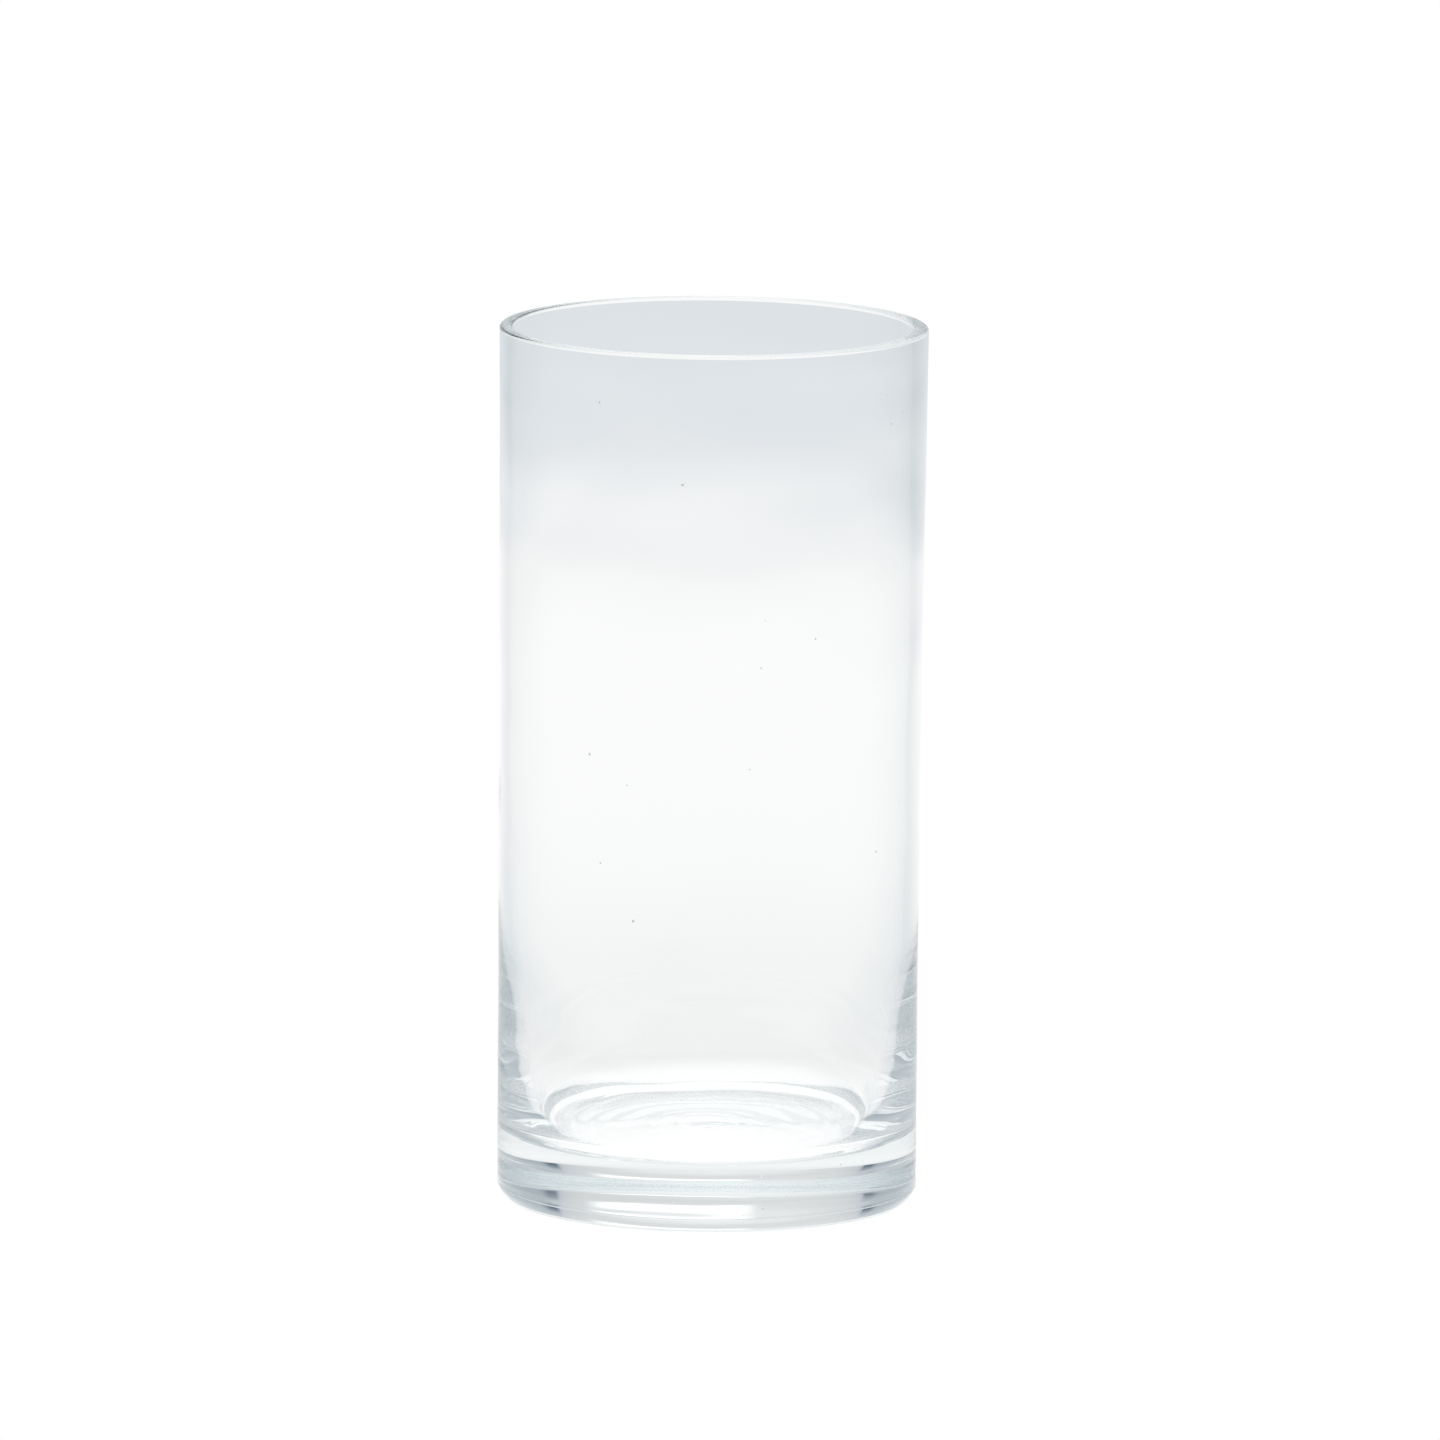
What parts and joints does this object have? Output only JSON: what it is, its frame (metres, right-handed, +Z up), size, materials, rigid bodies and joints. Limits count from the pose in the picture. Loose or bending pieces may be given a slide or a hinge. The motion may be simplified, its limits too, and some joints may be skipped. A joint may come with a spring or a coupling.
{
  "type": "glass cylinder vase",
  "caption": "Tall clear glass cylinder vase with a straight open bore, a fire-polished rim and a thick, heavy base.",
  "frame": {"origin": "centre of the flat ring that the vase stands on", "axes": "+Z up along the vase's axis and out of its mouth; the vase is round, so X and Y are free"},
  "size_m": [0.1018, 0.1018, 0.21],
  "materials": {
    "clear_glass": "clear, smooth blown glass with a faint blue-grey tint, fire-polished rim and a fine ground standing ring"
  },
  "bodies": {
    "root": {"vase_glass": "clear_glass"}
  },
  "joints": []
}
